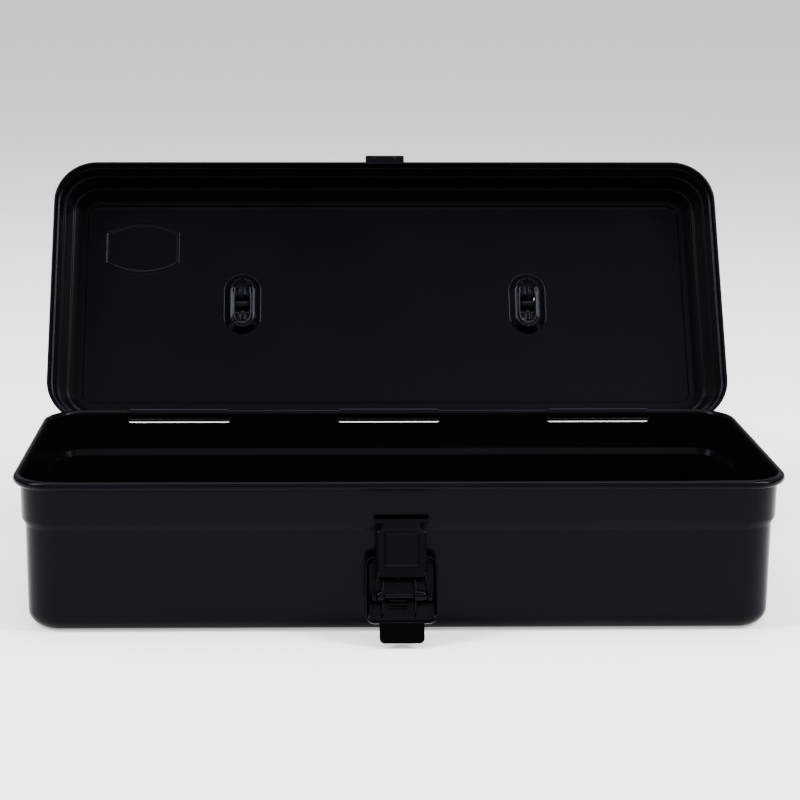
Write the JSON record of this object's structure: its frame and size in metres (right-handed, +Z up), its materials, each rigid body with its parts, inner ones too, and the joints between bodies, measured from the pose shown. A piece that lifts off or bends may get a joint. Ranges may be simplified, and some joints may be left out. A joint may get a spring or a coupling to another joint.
{
  "type": "steel toolbox",
  "caption": "Pressed-steel toolbox with a rolled rim, an open hinged lid with a folding rod handle, and a draw latch hanging open on its front.",
  "frame": {"origin": "middle of the body's flat underside", "axes": "+Z up, +Y towards the hinges, +X along the length, to the right as seen from the latch side"},
  "size_m": [0.333, 0.23, 0.1835],
  "materials": {
    "black_paint": "semi-gloss baked enamel",
    "black_steel": "satin enamel"
  },
  "bodies": {
    "body": {"body_pan": "black_paint", "latch_base": "black_steel", "base_rivet_1": "black_steel", "base_rivet_2": "black_steel", "pivot_pin": "black_steel"},
    "lid": {"lid_shell": "black_paint"},
    "handle": {"handle": "black_steel"},
    "lever": {"latch_lever": "black_paint", "link_pin": "black_steel"},
    "link": {"latch_link": "black_paint"}
  },
  "joints": [
    {"name": "lid_hinge", "type": "hinge", "parent": "body", "child": "lid", "pos_m": [0, 0.06505, 0.06575], "axis": [1, 0, 0], "range_deg": [0, 120.7]},
    {"name": "handle_pivot", "type": "hinge", "parent": "lid", "child": "handle", "pos_m": [0, 0.11989, 0.10884], "axis": [1, 0, 0], "range_deg": [-23, 142]},
    {"name": "lever_pivot", "type": "hinge", "parent": "body", "child": "lever", "pos_m": [0, -0.0702, 0.0292], "axis": [1, 0, 0], "range_deg": [-149, 0]},
    {"name": "link_pivot", "type": "hinge", "parent": "lever", "child": "link", "pos_m": [0, -0.07679, 0.0214], "axis": [1, 0, 0], "range_deg": [0, 175.82]}
  ],
  "couplings": [
    {"joint": "link_pivot", "follows": "lever_pivot", "ratio": -1.18}
  ]
}
